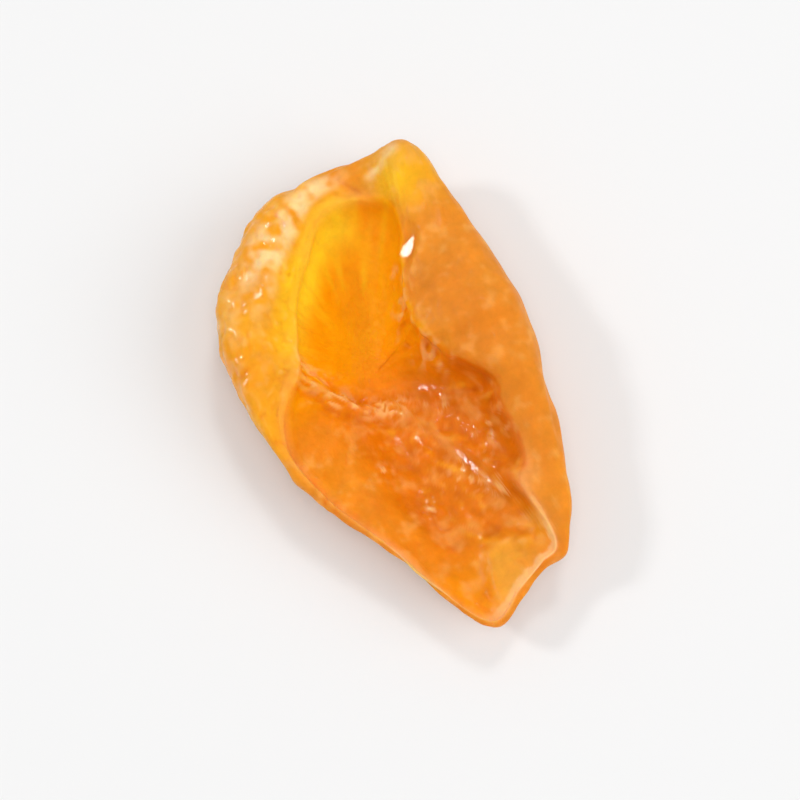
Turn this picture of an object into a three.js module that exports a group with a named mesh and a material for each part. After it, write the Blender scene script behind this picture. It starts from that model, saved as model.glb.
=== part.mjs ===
// One half of a dried apricot, cut at its seam, stoned and dried with the cut side up.
// Units are millimetres and +Z is up. The half lies on its skin, the stem end is towards +Y, and the
// thin, open tip is towards -Y. The origin is on the surface that it rests on, under the middle of its box.
import * as THREE from "three";
import { mergeVertices } from "three/addons/utils/BufferGeometryUtils.js";

const FLESH_COLOUR = 0xf29a1f;

// Facets along each edge of the cube that is wrapped round the fruit
const FACETS = 30;
// How much the facets are spread from the long sides towards the two ends
const END_SPREAD = 1.29;

// Height of the flesh in the middle, before the stone's hollow
const FLOOR_MIDDLE = 3.3;
// The line that the pleats of the skin turn round: how far to +X in the middle, how much further with each
// millimetre towards the stem end, how high, and how far from it they reach their full height
const PLEAT_AXIS = { x: 4.8, slant: 0.2, height: 6, calm: 6 };
// Where the stone lay, and where the stem was
const STONE_PLACE = [-0.8, 6];
const STEM_PLACE = [9.2, 20.3];
// The folds of the flesh are steps up on the right of bent lines, which go across it, down its low side and
// round the tip's turned-up side. For each one, after its line: its height, where across the line it rises,
// how far on it sinks again, the shares of the line where it sets in and starts to end, and its ripples' height
const CROSS_FOLD = [[-8.6, 7.6], [-7, 5.4], [-5.2, 3.4], [-3.3, 1.5], [-0.5, 0.4], [2.5, 0.2]];
const SIDE_FOLD = [[-4.2, 2.6], [-5, -2.1], [-4.7, -6.4], [-3.2, -10.5], [-1.2, -14.3], [-0.4, -18.5]];
const TIP_FOLD = [[0.4, -24], [1.1, -19], [1.9, -15.9], [2.7, -15.2], [5, -15.8], [9, -17.6]];
const FLESH_FOLDS = [
  [CROSS_FOLD, 0.45, [-1, 0.6], 4, [0.15, 0.6], 0.3],
  [SIDE_FOLD, 0.6, [-1, 1.4], 6, [0.2, 0.7], 0],
  [TIP_FOLD, 0.55, [-0.9, 0.9], 4, [0.1, 0.7], 0],
];
// Where the round bottom is pressed flat by the weight on it, how deep, and how gently the flat spot ends
const PRESS_PLACE = [1.4, 4.8];
const PRESS_DEPTH = 0.45;
const FLAT_EASE = 0.35;
// Where the middle of the half's box is, from the middle of the rim's stations
const MIDDLE = [1.4, -3.85];

// The rim, station by station round the half, in degrees from +X towards +Y:
// reach     how far out the wall bulges
// crest     height of the top of the rim
// stand     how upright the wall is, from 0 for a flared dish to 1 for a bellied cup
// overhang  how far the rim is curled in over the flesh
// drop      how far the free edge has sunk below the crest
// pocket    depth of the gap under the curled edge
// lip       thickness of the free edge
// climb     how late the flesh rises from the middle to the free edge
const RIM_FIELDS = ["angle", "reach", "crest", "stand", "overhang", "drop", "pocket", "lip", "climb"];
const RIM = [
  [-153, 11.9, 7.8, 0.3, 1.1, 0.2, 0.0, 0.6, 1.4],
  [-133, 13.2, 7.1, 0.0, 0.7, 0.0, 0.0, 0.3, 1.2],
  [-115, 15.4, 6.7, 0.0, 0.6, 0.0, 0.0, 0.3, 1.2],
  [-104, 18.0, 6.4, 0.0, 0.6, 0.0, 0.0, 0.3, 1.2],
  [-95, 22.1, 6.0, 0.0, 0.6, 0.0, 0.0, 0.3, 1.3],
  [-87, 26.4, 5.8, 0.0, 0.5, 0.0, 0.0, 0.3, 1.4],
  [-79, 25.1, 6.0, 0.0, 0.5, 0.0, 0.0, 0.3, 1.5],
  [-72, 24.5, 6.4, 0.1, 0.6, 0.0, 0.0, 0.3, 1.6],
  [-67, 25.0, 6.9, 0.2, 1.6, 0.1, 0.0, 0.4, 1.9],
  [-62, 23.8, 7.9, 0.5, 6.1, 0.4, 0.0, 1.0, 2.6],
  [-56, 22.2, 8.6, 0.7, 5.2, 0.6, 0.1, 1.2, 3.1],
  [-49, 20.0, 9.2, 0.8, 4.9, 0.8, 0.2, 1.4, 3.4],
  [-41, 18.1, 9.8, 0.9, 5.3, 0.9, 0.2, 1.4, 3.4],
  [-31, 16.5, 10.3, 1.0, 5.0, 1.0, 0.2, 1.4, 3.4],
  [-21, 15.7, 10.7, 1.0, 8.0, 1.1, 0.2, 1.4, 3.2],
  [-12, 15.3, 11.0, 1.0, 8.8, 1.0, 0.2, 1.4, 3.0],
  [-1, 15.0, 11.1, 1.0, 9.3, 1.0, 0.2, 1.4, 2.8],
  [12, 15.2, 11.1, 1.0, 9.9, 1.0, 0.2, 1.4, 2.6],
  [30, 16.5, 10.8, 0.9, 10.4, 1.0, 0.1, 1.3, 2.4],
  [45, 18.8, 10.2, 0.8, 9.9, 0.9, 0.0, 1.3, 2.2],
  [58, 21.4, 10.2, 0.6, 6.8, 0.9, 0.0, 1.2, 2.0],
  [67, 20.1, 9.0, 0.7, 4.3, 1.0, 0.0, 1.2, 1.9],
  [82, 18.8, 9.3, 0.8, 3.9, 1.3, 0.0, 1.1, 1.8],
  [99, 17.4, 10.0, 0.9, 6.7, 1.5, 0.0, 1.1, 1.8],
  [123, 15.4, 10.5, 1.0, 7.7, 1.7, 0.0, 1.1, 1.8],
  [149, 13.5, 10.5, 1.0, 7.3, 1.7, 0.0, 1.2, 2.0],
  [168, 12.3, 9.9, 1.0, 6.3, 1.5, 0.0, 1.2, 1.9],
  [188, 11.6, 8.8, 0.8, 3.2, 0.8, 0.0, 1.0, 1.6],
];

// The flesh's steering points between the free edge and the middle: how far out each one is, as a share of
// the edge's reach, and how far the pocket pushes it out. The innermost one is as high as the middle
const FLESH_POINTS = [[0.93, 0.5], [0.84, 1], [0.72, 0.9], [0.57, 0.4], [0.38, 0]];
const INNERMOST = 0.19;

// Pleats of the skin and fibres of the flesh: how many, how fast they change along their run, how high
const PLEATS = [[2.6, 0.06, 0.42], [5.5, 0.09, 0.28]];
const FIBRES = [[3.5, 0.1, 0.09], [9, 0.2, 0.06]];
// Heights of the slow swells of the skin and of the flesh, of the wrinkles on the roll, the nub where the stem
// was, the grain of the wet flesh and the dimples, and the depth of the stone's hollow
const SKIN_SWELL = 0.35;
const FLESH_SWELL = 0.25;
const ROLL_WRINKLE = 0.18;
const NUB_HEIGHT = 0.4;
const GRAIN_HEIGHT = 0.22;
const DIMPLE_HEIGHT = 0.12;
const HOLLOW_DEPTH = 0.8;
// Shares of the way along a section where skin turns into free edge, and free edge into flesh
const SKIN_END = [0.5, 0.56];
const FLESH_START = [0.56, 0.63];
// Share of the way along a section where the relief of the bottom sets in
const RELIEF_START = [0.03, 0.15];

const NOISE_SEED = 7;
const NOISE_CORNERS = [0, 1].flatMap((x) => [0, 1].flatMap((y) => [0, 1].map((z) => [x, y, z])));

const mix = (from, to, share) => from + (to - from) * share;

// 0 at low, 1 at high, and eased between them.
function smooth(low, high, value) {
  const t = THREE.MathUtils.clamp((value - low) / (high - low), 0, 1);
  return t * t * (3 - 2 * t);
}

// 1 at no distance, and nearly nothing at twice the width.
const hump = (distance, width) => Math.exp(-((distance / width) ** 2));

// A repeatable whole number for each corner of an endless grid.
function drawn(i, j, k) {
  const mixed = Math.imul(i, 374761393) + Math.imul(j, 668265263) + Math.imul(k, 2246822519) + NOISE_SEED;
  const stirred = Math.imul(mixed ^ (mixed >>> 13), 1274126177);
  return (stirred ^ (stirred >>> 16)) >>> 0;
}

// Smooth noise, mostly from -1 to 1, with about one swell to each unit of its coordinates.
function noise(...at) {
  const corner = at.map(Math.floor);
  const part = at.map((value, axis) => value - corner[axis]);
  const ease = part.map((t) => t ** 3 * (t * (t * 6 - 15) + 10));
  let total = 0;
  for (const step of NOISE_CORNERS) {
    const bits = drawn(...step.map((s, axis) => corner[axis] + s));
    const slope = (axis) => ((bits >>> (10 * axis)) & 1023) / 511.5 - 1;
    const share = step.reduce((product, s, axis) => product * (s ? ease[axis] : 1 - ease[axis]), 1);
    total += share * step.reduce((sum, s, axis) => sum + slope(axis) * (part[axis] - s), 0);
  }
  return 1.6 * total;
}

// Rounded swells with a crease between them.
const folds = (height) => 2 * Math.sqrt(height ** 2 + 0.01) - 0.7;

// The rim's measures at an angle in radians, on a smooth closed curve through the stations, a little wavy.
function rimAt(angle) {
  const degrees = THREE.MathUtils.radToDeg(angle);
  const count = RIM.length;
  const turned = degrees < RIM[0][0] ? degrees + 360 : degrees;
  let i = count - 1;
  while (RIM[i][0] > turned) i -= 1;
  const station = (k) => RIM[(k + count) % count];
  const place = (k) => station(k)[0] + 360 * Math.floor(k / count);
  const span = place(i + 1) - place(i);
  const t = (turned - place(i)) / span;
  const measures = {};
  RIM_FIELDS.forEach((field, f) => {
    const [a, b] = [station(i)[f], station(i + 1)[f]];
    const slopeA = (b - station(i - 1)[f]) / (place(i + 1) - place(i - 1));
    const slopeB = (station(i + 2)[f] - a) / (place(i + 2) - place(i));
    const ease = t * t * (3 - 2 * t);
    const bend = t * (1 - t) * span;
    measures[field] = mix(a, b, ease) + bend * (slopeA * (1 - t) - slopeB * t);
  });
  measures.crest += 0.35 * noise(4 * Math.cos(angle), 4 * Math.sin(angle), 2.5);
  measures.overhang *= 1 + 0.04 * noise(4 * Math.cos(angle), 4 * Math.sin(angle), 5.5);
  return measures;
}

// The section from under the middle, out and up the skin, over the rim and back in along the flesh.
function section({ reach, crest, stand, overhang, drop, pocket, lip, climb }) {
  const edge = reach - overhang;
  const edgeTop = crest - drop;
  const under = edgeTop - lip;
  const flesh = FLESH_POINTS.map(([place, push]) => [
    edge * place + push * pocket,
    FLOOR_MIDDLE + (under - FLOOR_MIDDLE) * place ** climb,
  ]);
  return [
    [0, 0],
    [0.2 * reach, 0],
    [0.42 * reach, mix(0.07, 0.01, stand) * crest],
    [0.65 * reach, mix(0.26, 0.09, stand) * crest],
    [0.86 * reach, mix(0.52, 0.3, stand) * crest],
    [mix(0.97, 1.02, stand) * reach, mix(0.76, 0.56, stand) * crest],
    [1.01 * reach, mix(0.95, 0.9, stand) * crest],
    [reach - 0.3 * overhang, 0.99 * crest],
    [reach - 0.68 * overhang, 1.01 * crest - 0.3 * drop],
    [edge + 0.05 * overhang, edgeTop + 0.15 * lip],
    [edge - 0.25 * lip, edgeTop - 0.4 * lip],
    ...flesh,
    [INNERMOST * edge, FLOOR_MIDDLE],
    [0, FLOOR_MIDDLE],
  ];
}

// A point of the uniform cubic spline that a section steers, at a share of the way along it.
function alongSection(points, share) {
  const last = points.length - 1;
  const at = share * last;
  const i = Math.min(Math.floor(at), last - 1);
  const t = at - i;
  const mirrored = ([out, up]) => [-out, up];
  const point = (k) => points[k] ?? mirrored(points[k < 0 ? 1 : last - 1]);
  const weights = [(1 - t) ** 3, 3 * t ** 3 - 6 * t ** 2 + 4, -3 * t ** 3 + 3 * t ** 2 + 3 * t + 1, t ** 3];
  const along = (axis) => weights.reduce((sum, weight, k) => sum + weight * point(i - 1 + k)[axis], 0) / 6;
  return [along(0), along(1)];
}

// How far a place is from a bent line, above 0 on its right, and the share of the way along it.
function pastLine(x, y, line) {
  let nearest = { away: Infinity };
  line.slice(1).forEach(([x1, y1], k) => {
    const [x0, y0] = line[k];
    const [runX, runY] = [x1 - x0, y1 - y0];
    const t = THREE.MathUtils.clamp(((x - x0) * runX + (y - y0) * runY) / (runX ** 2 + runY ** 2), 0, 1);
    const away = Math.hypot(x - x0 - t * runX, y - y0 - t * runY);
    const right = (x - x0) * runY > (y - y0) * runX ? 1 : -1;
    if (away < nearest.away) {
      nearest = { away, past: away * right, along: (k + t) / (line.length - 1) };
    }
  });
  return nearest;
}

// Slow swells of the skin, and pleats that run from the stem end to the tip and meet there.
function skinRelief(x, y, z) {
  const [outX, outZ] = [x - PLEAT_AXIS.x - PLEAT_AXIS.slant * y, z - PLEAT_AXIS.height];
  const away = Math.hypot(outX, outZ);
  const [roundX, roundZ] = [outX / (away + 1), outZ / (away + 1)];
  const bend = 0.3 * noise(x / 6, y / 8, z / 6 + 40);
  const calm = (1 - 0.8 * smooth(2, 6, x) * smooth(7, 9, z)) * smooth(0, PLEAT_AXIS.calm, away);
  const swell = SKIN_SWELL * noise(x / 7, y / 9, z / 7);
  return PLEATS.reduce((total, [number, run, height]) => {
    const crossing = noise(roundX * number + bend, roundZ * number + bend, y * run + number);
    return total + calm * height * folds(crossing);
  }, swell);
}

// Wrinkles on the roll at the upper left, and the nub where the stem was.
function rollRelief(x, y, z) {
  const rolled = smooth(2, -4, x) * smooth(5, 8, z);
  const sway = 0.5 * noise(x / 3, y / 3, 63.5);
  const wrinkles = ROLL_WRINKLE * rolled * folds(noise(x / 1.9 + sway, y / 3.2 - sway, z / 2.4 + 70));
  const nub = hump(Math.hypot(x - STEM_PLACE[0], y - STEM_PLACE[1]), 2) * smooth(6, 9, z);
  return wrinkles + NUB_HEIGHT * nub;
}

// The step of one fold of the flesh, along a line that sways a little, and the ripples beside it.
function foldStep(x, y, [line, height, rise, sinking, [start, end], rippleHeight]) {
  const { past: straight, along } = pastLine(x, y, line);
  const past = straight + 0.5 * noise(x / 3, y / 3, 41.5);
  const step = height * smooth(...rise, past) * Math.exp(-Math.max(past, 0) / sinking);
  const ripple = rippleHeight * Math.cos(past * 2.4 - 1) * hump(past - 0.6, 1.8);
  return smooth(0, start, along) * smooth(1, end, along) * (step + ripple);
}

// The stone's hollow, fibres that run out from it, the folds of the flesh and the wet grain between them.
function fleshRelief(x, y) {
  const [outX, outY] = [x - STONE_PLACE[0], y - STONE_PLACE[1]];
  const away = Math.hypot(outX, outY);
  const [turnX, turnY] = [outX / (away + 0.5), outY / (away + 0.5)];
  const warp = 0.2 * noise(x / 3, y / 3, 30.5);
  const fibres = FIBRES.reduce((total, [number, run, height]) => {
    const crossing = noise(turnX * number + warp, turnY * number + warp, away * run + number);
    return total + height * smooth(2, 8, away) * folds(crossing);
  }, 0);
  const hollow = -HOLLOW_DEPTH * hump(Math.hypot(outX / 6, outY / 9), 1);
  const swell = FLESH_SWELL * noise(x / 5, y / 6, 21.5);
  const sway = 0.6 * noise(x / 2.5, y / 2.5, 33.5);
  const patch = smooth(-0.25, 0.35, noise(x / 4.5, y / 4.5, 51.5)) * smooth(3, -3, y) * smooth(-6, 2, x);
  const grain = GRAIN_HEIGHT * patch * folds(noise(x / 1.5 + sway, y / 1.2 - sway, 27.5));
  const steps = FLESH_FOLDS.reduce((total, fold) => total + foldStep(x, y, fold), 0);
  return fibres + hollow + swell + grain + steps;
}

// How far the surface stands out at a point, above the plain section.
function relief({ x, y, z }, share) {
  const skin = 1 - smooth(...SKIN_END, share);
  const flesh = smooth(...FLESH_START, share);
  const dimples = DIMPLE_HEIGHT * noise(x / 2.2, y / 2.6, z / 2.2) * (1 - 0.5 * flesh);
  const sides = skin * (skinRelief(x, y, z) + rollRelief(x, y, z)) + flesh * fleshRelief(x, y);
  return (sides + dimples) * smooth(...RELIEF_START, share);
}

// The height of a point once the bottom is pressed flat.
function settled({ x, y, z }) {
  const away = Math.hypot((x - PRESS_PLACE[0]) / 7, (y - PRESS_PLACE[1]) / 12);
  const up = Math.max(z - PRESS_DEPTH * hump(away, 1), 0);
  return up ** 2 / (up + FLAT_EASE);
}

// A closed ball of even facets, wrapped from a cube.
function facetedBall() {
  const cube = new THREE.BoxGeometry(2, 2, 2, FACETS, FACETS, FACETS);
  cube.deleteAttribute("normal");
  cube.deleteAttribute("uv");
  const ball = mergeVertices(cube);
  const position = ball.getAttribute("position");
  const point = new THREE.Vector3();
  for (let i = 0; i < position.count; i += 1) {
    point.fromBufferAttribute(position, i);
    point.set(...point.toArray().map((c) => Math.tan((c * Math.PI) / 4))).normalize();
    position.setXYZ(i, ...point);
  }
  return ball;
}

// Each of a cube's squares is listed as the triangles a, b, d and b, c, d. It is split from a to c
// where that is the shorter way across.
function splitShorter(geometry) {
  const position = geometry.getAttribute("position");
  const index = geometry.getIndex();
  const corner = (vertex) => new THREE.Vector3().fromBufferAttribute(position, vertex);
  for (let i = 0; i < index.count; i += 6) {
    const [a, b, d, , c] = index.array.slice(i, i + 6);
    if (corner(a).distanceTo(corner(c)) < corner(b).distanceTo(corner(d))) {
      index.array.set([a, b, c, a, c, d], i);
    }
  }
}

function apricotHalf() {
  const geometry = facetedBall();
  const position = geometry.getAttribute("position");
  const point = new THREE.Vector3();
  const shares = [];
  for (let i = 0; i < position.count; i += 1) {
    point.fromBufferAttribute(position, i);
    const angle = Math.atan2(point.y * END_SPREAD, point.x);
    shares.push(Math.acos(THREE.MathUtils.clamp(-point.z, -1, 1)) / Math.PI);
    const [out, up] = alongSection(section(rimAt(angle)), shares[i]);
    position.setXYZ(i, out * Math.cos(angle) - MIDDLE[0], out * Math.sin(angle) - MIDDLE[1], up);
  }
  geometry.computeVertexNormals();
  const normal = new THREE.Vector3();
  for (let i = 0; i < position.count; i += 1) {
    point.fromBufferAttribute(position, i);
    normal.fromBufferAttribute(geometry.getAttribute("normal"), i);
    point.addScaledVector(normal, relief(point, shares[i]));
    position.setXYZ(i, point.x, point.y, settled(point));
  }
  splitShorter(geometry);
  geometry.computeBoundingBox();
  const middle = geometry.boundingBox.getCenter(new THREE.Vector3());
  geometry.translate(-middle.x, -middle.y, 0);
  return geometry;
}

const material = new THREE.MeshStandardMaterial({ color: FLESH_COLOUR, roughness: 0.3, metalness: 0 });
const half = new THREE.Mesh(apricotHalf(), material);
half.name = "apricot_half";
const part = new THREE.Group();
part.add(half);
export default part;
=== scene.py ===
"""A dried apricot half on a pale floor, in soft studio light, seen from high up as in the photograph."""

import math
from collections import namedtuple

import bpy
import numpy as np
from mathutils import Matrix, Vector


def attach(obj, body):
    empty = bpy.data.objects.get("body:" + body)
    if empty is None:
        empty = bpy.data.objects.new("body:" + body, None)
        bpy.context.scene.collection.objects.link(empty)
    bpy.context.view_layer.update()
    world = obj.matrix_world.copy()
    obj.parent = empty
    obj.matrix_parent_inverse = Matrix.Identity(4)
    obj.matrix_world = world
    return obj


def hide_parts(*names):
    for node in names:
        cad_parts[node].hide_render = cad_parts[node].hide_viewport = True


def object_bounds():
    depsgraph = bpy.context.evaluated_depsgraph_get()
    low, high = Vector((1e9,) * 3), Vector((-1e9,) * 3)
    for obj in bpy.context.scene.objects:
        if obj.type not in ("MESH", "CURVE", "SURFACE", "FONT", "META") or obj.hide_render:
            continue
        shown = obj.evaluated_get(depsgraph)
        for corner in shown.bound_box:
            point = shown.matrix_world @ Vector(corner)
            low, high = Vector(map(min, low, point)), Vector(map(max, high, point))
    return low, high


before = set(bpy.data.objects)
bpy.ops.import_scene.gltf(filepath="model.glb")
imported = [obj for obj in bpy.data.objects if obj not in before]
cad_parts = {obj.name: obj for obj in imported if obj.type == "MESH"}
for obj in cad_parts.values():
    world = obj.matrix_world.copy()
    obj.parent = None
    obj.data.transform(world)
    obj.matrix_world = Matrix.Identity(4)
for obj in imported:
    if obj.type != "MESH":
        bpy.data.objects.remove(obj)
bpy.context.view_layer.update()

MM = 0.001
NODE = "apricot_half"

# The measures of many places on the half: where they are in millimetres, their angle round it, and their
# share of the way along a section, from 0 under the middle to 1 in the middle of the flesh
Places = namedtuple("Places", "x y z turn share")


def mix(low, high, share):
    return low + (high - low) * share


def smooth(low, high, value):
    """0 below low, 1 above high, and eased between them."""
    t = np.clip((value - low) / (high - low), 0, 1)
    return t * t * (3 - 2 * t)


def hump(distance, width):
    """1 at no distance, falling smoothly to nearly nothing at twice the width."""
    return np.exp(-((distance / width) ** 2))


def spot(at, middle, size):
    """1 in the middle of an oval, falling smoothly to nearly nothing at twice its half width and length."""
    return hump(np.hypot((at.x - middle[0]) / size[0], (at.y - middle[1]) / size[1]), 1)


def inside(zone, at):
    """How far each place is inside a zone, from 0 to 1."""
    total = 1.0
    for measure, outside, full in zone:
        total = total * smooth(outside, full, getattr(at, measure))
    return total


# What the noise is drawn from and how strong it is
NOISE_SEED = 7
NOISE_GAIN = 1.6
HASH_FACTORS = (374761393, 668265263, 2246822519)
HASH_MIXER = 1274126177
HASH_SHIFTS = (13, 16)
SLOPE_BITS = 10
# A kind of noise: how strong it is, how large its bumps are along X, Y and Z, and where in the noise it
# starts. A flat one does not change with height
Waves = namedtuple("Waves", "strength sizes start")
FLAT = math.inf


def drawn(corner):
    """A repeatable whole number for each corner of an endless grid."""
    word = np.uint32
    mixed = sum(part.astype(word) * word(factor) for part, factor in zip(corner, HASH_FACTORS))
    mixed = mixed + word(NOISE_SEED)
    mixed = (mixed ^ (mixed >> word(HASH_SHIFTS[0]))) * word(HASH_MIXER)
    return mixed ^ (mixed >> word(HASH_SHIFTS[1]))


def noise(x, y, z):
    """Smooth noise, mostly from -1 to 1, with one bump or so to each unit of its coordinates."""
    at = np.stack(np.broadcast_arrays(x, y, z)).astype(float)
    corner = np.floor(at).astype(np.int64)
    part = at - corner
    ease = part ** 3 * (part * (part * 6 - 15) + 10)
    largest = 2 ** SLOPE_BITS - 1
    total = 0.0
    for step in np.ndindex(2, 2, 2):
        away = part - np.array(step)[:, None]
        word = drawn(corner + np.array(step)[:, None])
        share = np.prod([e if d else 1 - e for e, d in zip(ease, step)], axis=0)
        for n in range(3):
            slope = ((word >> np.uint32(SLOPE_BITS * n)) & np.uint32(largest)) / (largest / 2) - 1
            total = total + share * slope * away[n]
    return total * NOISE_GAIN


def pattern(kind, at, sway=0.0):
    """The noise of one kind, before its strength, bent by a sway."""
    wide, long, high = kind.sizes
    return noise(at.x / wide + sway, at.y / long - sway, at.z / high + kind.start)


def waves(kind, at):
    return kind.strength * pattern(kind, at)


# The half starts as a cube with this many facets along each side, puffed out to a ball whose points are
# drawn towards the half's two ends. Each point then takes its place on a section
BALL_FACETS = 128
MERGE_DIGITS = 6
END_SPREAD = 1.29
# Where the middle of the half's box is, from the middle of the rim's stations
MIDDLE = (1.4, -3.85)
# Stations round the rim: angle in degrees from +X towards +Y, reach of the wall, height of the crest, how
# upright the wall stands, overhang of the curled edge, drop of the free edge, pocket under it, thickness
# of its lip, and how steeply the flesh climbs to it
RIM = np.array([
    [-153, 11.9, 7.8, 0.3, 1.1, 0.2, 0.0, 0.6, 1.4],
    [-133, 13.2, 7.1, 0.0, 0.7, 0.0, 0.0, 0.3, 1.2],
    [-115, 15.4, 6.7, 0.0, 0.6, 0.0, 0.0, 0.3, 1.2],
    [-104, 18.0, 6.4, 0.0, 0.6, 0.0, 0.0, 0.3, 1.2],
    [-95, 22.1, 6.0, 0.0, 0.6, 0.0, 0.0, 0.3, 1.3],
    [-87, 26.4, 5.8, 0.0, 0.5, 0.0, 0.0, 0.3, 1.4],
    [-79, 25.1, 6.0, 0.0, 0.5, 0.0, 0.0, 0.3, 1.5],
    [-72, 24.5, 6.4, 0.1, 0.6, 0.0, 0.0, 0.3, 1.6],
    [-67, 25.0, 6.9, 0.2, 1.6, 0.1, 0.0, 0.4, 1.9],
    [-62, 23.8, 7.9, 0.5, 6.1, 0.4, 0.0, 1.0, 2.6],
    [-56, 22.2, 8.6, 0.7, 5.2, 0.6, 0.1, 1.2, 3.1],
    [-49, 20.0, 9.2, 0.8, 4.9, 0.8, 0.2, 1.4, 3.4],
    [-41, 18.1, 9.8, 0.9, 5.3, 0.9, 0.2, 1.4, 3.4],
    [-31, 16.5, 10.3, 1.0, 5.0, 1.0, 0.2, 1.4, 3.4],
    [-21, 15.7, 10.7, 1.0, 8.0, 1.1, 0.2, 1.4, 3.2],
    [-12, 15.3, 11.0, 1.0, 8.8, 1.0, 0.2, 1.4, 3.0],
    [-1, 15.0, 11.1, 1.0, 9.3, 1.0, 0.2, 1.4, 2.8],
    [12, 15.2, 11.1, 1.0, 9.9, 1.0, 0.2, 1.4, 2.6],
    [30, 16.5, 10.8, 0.9, 10.4, 1.0, 0.1, 1.3, 2.4],
    [45, 18.8, 10.2, 0.8, 9.9, 0.9, 0.0, 1.3, 2.2],
    [58, 21.4, 10.2, 0.6, 6.8, 0.9, 0.0, 1.2, 2.0],
    [67, 20.1, 9.0, 0.7, 4.3, 1.0, 0.0, 1.2, 1.9],
    [82, 18.8, 9.3, 0.8, 3.9, 1.3, 0.0, 1.1, 1.8],
    [99, 17.4, 10.0, 0.9, 6.7, 1.5, 0.0, 1.1, 1.8],
    [123, 15.4, 10.5, 1.0, 7.7, 1.7, 0.0, 1.1, 1.8],
    [149, 13.5, 10.5, 1.0, 7.3, 1.7, 0.0, 1.2, 2.0],
    [168, 12.3, 9.9, 1.0, 6.3, 1.5, 0.0, 1.2, 1.9],
    [188, 11.6, 8.8, 0.8, 3.2, 0.8, 0.0, 1.0, 1.6],
])
# Waves round the rim: how fine they are, then how strong and where in the noise
RIM_WAVES = 4
CREST_WAVE, CREST_WAVE_START = 0.35, 2.5
OVERHANG_WAVE, OVERHANG_WAVE_START = 0.04, 5.5
# What steers a section up the skin: shares of the reach for a wall that leans and one that stands upright,
# and shares of the crest's height for the same two
SKIN_STEPS = (
    (0.0, 0.0, 0.0, 0.0),
    (0.2, 0.2, 0.0, 0.0),
    (0.42, 0.42, 0.07, 0.01),
    (0.65, 0.65, 0.26, 0.09),
    (0.86, 0.86, 0.52, 0.3),
    (0.97, 1.02, 0.76, 0.56),
    (1.01, 1.01, 0.95, 0.9),
)
# What steers it over the rim: shares of the overhang, the crest's height, the drop and the lip
SHOULDER_IN, SHOULDER_UP = 0.3, 0.99
CREST_IN, CREST_UP, CREST_DROP = 0.68, 1.01, 0.3
EDGE_OUT, EDGE_UP = 0.05, 0.15
LIP_IN, LIP_DOWN = 0.25, 0.4
# What steers it along the flesh: shares of the free edge's place and of the pocket
FLESH_STEPS = ((0.93, 0.5), (0.84, 1.0), (0.72, 0.9), (0.57, 0.4), (0.38, 0.0))
INNERMOST = 0.19
FLOOR_MIDDLE = 3.3
# How many times the bend of the surface is evened out between neighbours
BEND_EASINGS = 3


def faceted_ball(facets):
    """Directions and four-sided faces of a ball wrapped from a cube."""
    step = np.tan(np.linspace(-1, 1, facets + 1) * math.pi / 4)
    a, b = (g.ravel() for g in np.meshgrid(step, step, indexing="ij"))
    one = np.ones_like(a)
    sides = [(one, a, b), (-one, b, a), (b, one, a), (a, -one, b), (a, b, one), (b, a, -one)]
    corners = np.arange((facets + 1) ** 2).reshape(facets + 1, facets + 1)
    quad = [corners[:-1, :-1], corners[1:, :-1], corners[1:, 1:], corners[:-1, 1:]]
    quad = np.stack(quad, 2).reshape(-1, 4)
    points = np.concatenate([np.stack(side, 1) for side in sides])
    faces = np.concatenate([quad + k * len(a) for k in range(len(sides))])
    rounded = np.round(points, MERGE_DIGITS)
    _, first, merged = np.unique(rounded, axis=0, return_index=True, return_inverse=True)
    points = points[first]
    return points / np.linalg.norm(points, axis=1)[:, None], merged.reshape(-1)[faces]


def rim_at(angle):
    """The rim's measures at each angle in degrees, on a smooth closed curve through the stations."""
    count = len(RIM)
    turned = np.where(angle < RIM[0, 0], angle + 360, angle)
    i = np.searchsorted(RIM[:, 0], turned, side="right") - 1

    def place(k):
        return RIM[k % count, 0] + 360 * (k // count)

    span = place(i + 1) - place(i)
    t = ((turned - place(i)) / span)[:, None]
    before, a, b, after = (RIM[(i + k) % count, 1:] for k in (-1, 0, 1, 2))
    slope_a = (b - before) / (place(i + 1) - place(i - 1))[:, None]
    slope_b = (after - a) / (place(i + 2) - place(i))[:, None]
    ease = t * t * (3 - 2 * t)
    bend = t * (1 - t) * span[:, None]
    reach, crest, stand, overhang, *others = (mix(a, b, ease) + bend * (slope_a * (1 - t) - slope_b * t)).T
    turn = np.radians(angle)
    round_x, round_y = np.cos(turn) * RIM_WAVES, np.sin(turn) * RIM_WAVES
    crest = crest + CREST_WAVE * noise(round_x, round_y, CREST_WAVE_START)
    overhang = overhang * (1 + OVERHANG_WAVE * noise(round_x, round_y, OVERHANG_WAVE_START))
    return reach, crest, stand, overhang, *others


def section(measures):
    """The section from under the middle, up the skin, over the rim and back in along the flesh."""
    reach, crest, stand, overhang, drop, pocket, lip, climb = measures
    edge = reach - overhang
    edge_top = crest - drop
    under = edge_top - lip
    out = [mix(leaning, upright, stand) * reach for leaning, upright, _, _ in SKIN_STEPS]
    up = [mix(leaning, upright, stand) * crest for _, _, leaning, upright in SKIN_STEPS]
    out += [reach - SHOULDER_IN * overhang, reach - CREST_IN * overhang]
    up += [SHOULDER_UP * crest, CREST_UP * crest - CREST_DROP * drop]
    out += [edge + EDGE_OUT * overhang, edge - LIP_IN * lip]
    up += [edge_top + EDGE_UP * lip, edge_top - LIP_DOWN * lip]
    for place, into_pocket in FLESH_STEPS:
        out.append(edge * place + into_pocket * pocket)
        up.append(FLOOR_MIDDLE + (under - FLOOR_MIDDLE) * place ** climb)
    nought = np.zeros_like(reach)
    out += [INNERMOST * edge, nought]
    up += [FLOOR_MIDDLE + nought] * 2
    return np.stack([out, up], axis=2)


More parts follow.
